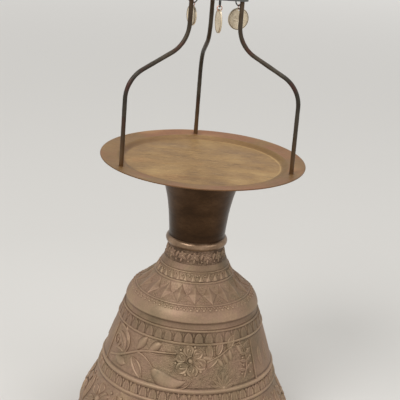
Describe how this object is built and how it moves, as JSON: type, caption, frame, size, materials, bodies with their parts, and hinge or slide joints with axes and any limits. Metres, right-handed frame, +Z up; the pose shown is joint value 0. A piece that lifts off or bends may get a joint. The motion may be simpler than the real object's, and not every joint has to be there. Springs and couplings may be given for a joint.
{
  "type": "hanging scale pan on a bell-shaped stand",
  "caption": "Round shallow brass weighing pan on bent iron rods with a top plate, swivel hook and dangling coins, parked on a bell-shaped chased brass stand with a flared neck.",
  "frame": {"origin": "centre of the stand's foot, on the surface that it stands on", "axes": "+Z up along the stand's axis; the picture looks along +Y, with +X to its right"},
  "size_m": [0.242, 0.242, 0.5208],
  "materials": {
    "stand_brass": "dull brown patina, chased",
    "neck_brass": "dark worn patina, smooth",
    "pan_brass": "golden brown, scuffed",
    "rod_iron": "dark forged iron with light rust",
    "plate_steel": "grey, dull",
    "ring_iron": "dark wire",
    "ring_copper": "copper wire",
    "coin_brass": "pale worn gilt"
  },
  "bodies": {
    "stand": {"foot_ring": "stand_brass", "bottom_disc": "stand_brass", "bell_skirt": "stand_brass", "shoulder": "stand_brass", "neck": "neck_brass", "neck_bead": "neck_brass"},
    "pan": {"pan": "pan_brass", "pan_collar": "pan_brass", "rod_left": "rod_iron", "rod_right": "rod_iron", "rod_back": "rod_iron", "rod_washers": "rod_iron", "top_plate": "plate_steel"},
    "hook": {"swivel_hook": "plate_steel"},
    "ring_right": {"split_ring_right": "ring_iron"},
    "coin_right": {"jump_ring_right": "ring_copper", "coin_right": "coin_brass"},
    "ring_left": {"split_ring_left": "ring_iron"},
    "coin_left": {"jump_ring_left": "ring_copper", "coin_left": "coin_brass"},
    "ring_front": {"split_ring_front": "ring_iron"},
    "coin_front": {"jump_ring_front": "ring_copper", "coin_front": "coin_brass"}
  },
  "joints": [
    {"name": "pan_lift", "type": "slide", "parent": "stand", "child": "pan", "axis": [0, 0, 1], "range_m": [0, 0.15]},
    {"name": "hook_swivel", "type": "hinge", "parent": "pan", "child": "hook", "pos_m": [0, 0, 0.4827], "axis": [0, 0, 1], "continuous": true},
    {"name": "ring_swing_right", "type": "hinge", "parent": "pan", "child": "ring_right", "pos_m": [0.0248, 0.0013, 0.47974], "axis": [-0.628, 0.7782, 0], "range_deg": [-15, 15]},
    {"name": "coin_swing_right", "type": "hinge", "parent": "ring_right", "child": "coin_right", "pos_m": [0.0248, 0.0013, 0.47314], "axis": [0.9063, 0.4226, 0], "range_deg": [-8, 12]},
    {"name": "ring_swing_left", "type": "hinge", "parent": "pan", "child": "ring_left", "pos_m": [-0.02346, -0.00272, 0.47974], "axis": [-0.436, -0.8999, 0], "range_deg": [-15, 15]},
    {"name": "coin_swing_left", "type": "hinge", "parent": "ring_left", "child": "coin_left", "pos_m": [-0.02346, -0.00272, 0.47314], "axis": [-0.454, 0.891, 0], "range_deg": [-20, 6]},
    {"name": "ring_swing_front", "type": "hinge", "parent": "pan", "child": "ring_front", "pos_m": [0.00457, -0.01646, 0.47974], "axis": [0.9931, 0.1175, 0], "range_deg": [-15, 15]},
    {"name": "coin_swing_front", "type": "hinge", "parent": "ring_front", "child": "coin_front", "pos_m": [0.00457, -0.01646, 0.47314], "axis": [0.2419, -0.9703, 0], "range_deg": [-20, 12]}
  ]
}
